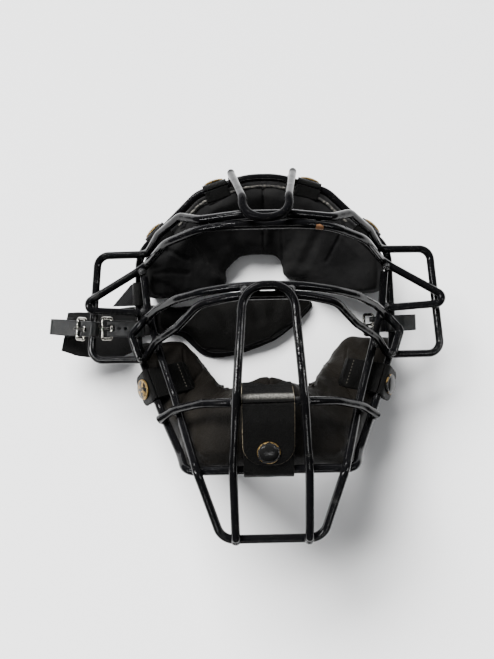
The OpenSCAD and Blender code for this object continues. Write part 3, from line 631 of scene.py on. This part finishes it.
snap_cap("chin_cap", "chin_snap_cap", "chin_flap", enamel("enamel_chin", 0.3))
for where, bare in (("cheek", 0.24), ("brow", 0.4), ("temple", 0.4)):
    for side in ("right", "left"):
        amount = 0.62 if (where, side) == ("cheek", "left") else bare
        snap_cap(f"{where}_cap_{side}", f"{where}_snap_cap_{side}", f"{where}_flap_{side}",
                 enamel(f"enamel_{where}_{side}", amount))


def plain_brass(place):
    """Bare brass, browned in patches."""
    tarnish = place.grain(500, 4, 0.6)
    return {"Base Color": tarnish.blend((0.2, 0.13, 0.05), (0.4, 0.28, 0.12)), "Metallic": 1.0,
            "Roughness": 0.3 + tarnish * 0.2}


dressed(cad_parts["snap_studs"], finish("plain_brass", plain_brass))


# Left side strap: a coated strap with holes, looped round the ring's side and through the inner buckle.
# The buckle frames are bent from bright plated wire; the prongs and the right buckle have the same plating
# made much darker.
def coated_strap(place):
    """Rubbery black coating, scuffed grey."""
    scuff = place.grain(130, 5, 0.65).fade(0.45, 0.75)
    fine_grain = place.grain(1500, 2)
    return {
        "Base Color": scuff.blend((0.0035, 0.0038, 0.0038), (0.013, 0.0136, 0.014)),
        "Roughness": 0.34 + scuff * 0.2 + fine_grain * 0.06,
        "Specular IOR Level": 0.3,
        "Normal": (scuff * 0.5 + fine_grain * 0.3).relief(0.00025),
    }


strap_coat = finish("strap_coat", coated_strap)


def plated(place, fresh=(0.5, 0.49, 0.45), dull=(0.12, 0.1, 0.075)):
    """Metal, fresh where it is clean and dull where it is tarnished."""
    tarnish = place.grain(260, 4, 0.65).fade(0.45, 0.75)
    return {
        "Base Color": tarnish.blend(fresh, dull),
        "Metallic": 1.0,
        "Roughness": 0.16 + tarnish * 0.3,
        "Normal": place.grain(900, 3).relief(0.00015),
    }


plating = finish("buckle_plating", plated)


def strap_piece(node, name, body, material=strap_coat, voxel=0.0005, wave=0.0003):
    """A strap or panel, made as the tabs are, with its own finish."""
    hide_piece(node, name, body, material, voxel, wave)


strap_piece("side_strap_left", "side_strap_holed", "cage")
for node in ("inner_buckle_left", "outer_buckle_left"):
    dressed(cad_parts[node], plating)
# A much darker copy of the plating, for the prongs and the right buckle.
darkened_plating = finish("dark_buckle_plating", lambda place: plated(place, (0.11, 0.108, 0.1), (0.03, 0.027, 0.022)))
for node in ("inner_prong_left", "outer_prong_left", "buckle_right", "prong_right"):
    dressed(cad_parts[node], darkened_plating)


# Elastic: ribbed webbing on the left side of the ring, woven with rubber threads that show as ribs.
# A leather strip is sewn to it.
def ribbed(place):
    """Ribs across the webbing, which runs askew to the mask."""
    webbing_angle, rib_width = math.radians(44), 0.0012
    turned = place.node("VectorRotate", {"rotation_type": "Z_AXIS"}, Vector=place, Angle=webbing_angle)
    along = turned.node("SeparateXYZ", None, 0, Vector=turned)
    rib = along.maths("SINE", along * (math.tau / rib_width))
    return {
        "Base Color": (rib * 0.5 + 0.5).blend((0.004, 0.004, 0.0043), (0.018, 0.018, 0.019)),
        "Roughness": 0.75,
        "Normal": rib.relief(0.0003),
    }


ribbed_elastic = finish("ribbed_elastic", ribbed)
strap_piece("elastic_left", "elastic_webbing", "cage", ribbed_elastic, 0.0004, 0.0001)
strap_piece("elastic_strip_left", "elastic_strip", "cage", tab_hide)


# Head harness, left: a leather loop on the ear guard wire holds the outer buckle. The strap's tail runs out
# through it and back to the leather panel, which goes under the ring to the rear pad.
strap_piece("ear_loop_left", "ear_guard_loop_leather", "harness")
strap_piece("strap_tail_left", "strap_tail", "harness")
panel_hide = smooth_hide((0.0035, 0.0035, 0.0035), (0.011, 0.011, 0.011), 0.42, 0.00022)
harness_hide = finish("harness_hide", panel_hide)
strap_piece("harness_panel", "harness_side_panel", "harness", harness_hide, 0.0006, 0.0006)
strap_piece("keeper_left", "strap_keeper", "harness", harness_hide)


# Rear head pad: flat foam in smooth black leather, sewn to a backing layer of the cover cloth. It sits
# behind the head when the mask is worn, and here lies inside the mask.
rear = stuffed("rear_head_pad", "rear_cushion", 0.003, 0.003, 0.001, 3.0)
finer(rear)
pressed(rear, [[(-52, -20), (-20, -21), (4, -12), (26, 2), (38, 14)]], 1.4, 0.8)
pressed(rear, [[(-10, 22), (-4, 4)], [(14, 26), (8, 8)], [(-36, 18), (-30, 0)]], 8, 2.0)
moved(rear, ripple(45, 0.0012, 9.0))
rear_hide = smooth_hide((0.0016, 0.0016, 0.0015), (0.0048, 0.0046, 0.0042), 0.5, 0.00022)
dressed(rear, finish("rear_pad_hide", rear_hide))
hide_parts("rear_head_pad")
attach(rear, "harness")
strap_piece("rear_backing", "rear_pad_backing", "harness", cover_cloth, 0.0008, 0.0002)


# Right strap: the same coated strap as on the left, opened and turned round the ring's side. One end is
# folded outward and the other holds a small buckle inside the mask.
strap_piece("strap_right", "right_side_strap", "right_strap")


# Brings the scene up to date.
bpy.context.view_layer.update()
